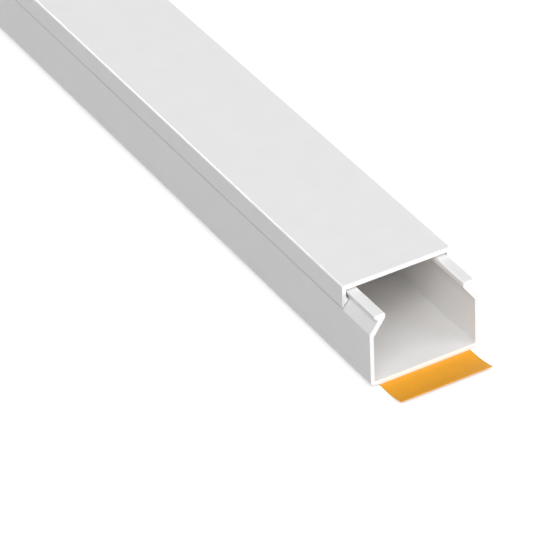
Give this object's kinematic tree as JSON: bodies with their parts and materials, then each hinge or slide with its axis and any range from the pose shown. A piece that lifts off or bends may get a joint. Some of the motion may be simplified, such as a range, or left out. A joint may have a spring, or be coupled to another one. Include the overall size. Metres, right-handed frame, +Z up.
{
  "type": "cord cover raceway",
  "caption": "Self-adhesive cord cover raceway: a U-shaped channel with hooked lips, a clip-on cover that slides along it, and double-sided tape under a release liner with a loose tab.",
  "frame": {"origin": "centre of the release liner's flat lower face under the channel, which is the face that lies on the wall or table", "axes": "+X along the length towards the end where the cover is set back, +Y across the width, +Z up out of the mounting face to the cover"},
  "size_m": [0.4179, 0.025, 0.0184],
  "materials": {
    "channel_plastic": "white extruded uPVC, satin",
    "cover_plastic": "white extruded uPVC, satin",
    "tape_adhesive": "pale double-sided adhesive film",
    "liner_paper": "amber siliconised paper, slight sheen"
  },
  "bodies": {
    "channel_body": {"base_channel": "channel_plastic", "adhesive_tape": "tape_adhesive", "release_liner": "liner_paper"},
    "cover_body": {"cover": "cover_plastic"}
  },
  "joints": [
    {"name": "cover_slide", "type": "slide", "parent": "channel_body", "child": "cover_body", "axis": [1, 0, 0], "range_m": [-0.34, 0.36]}
  ]
}
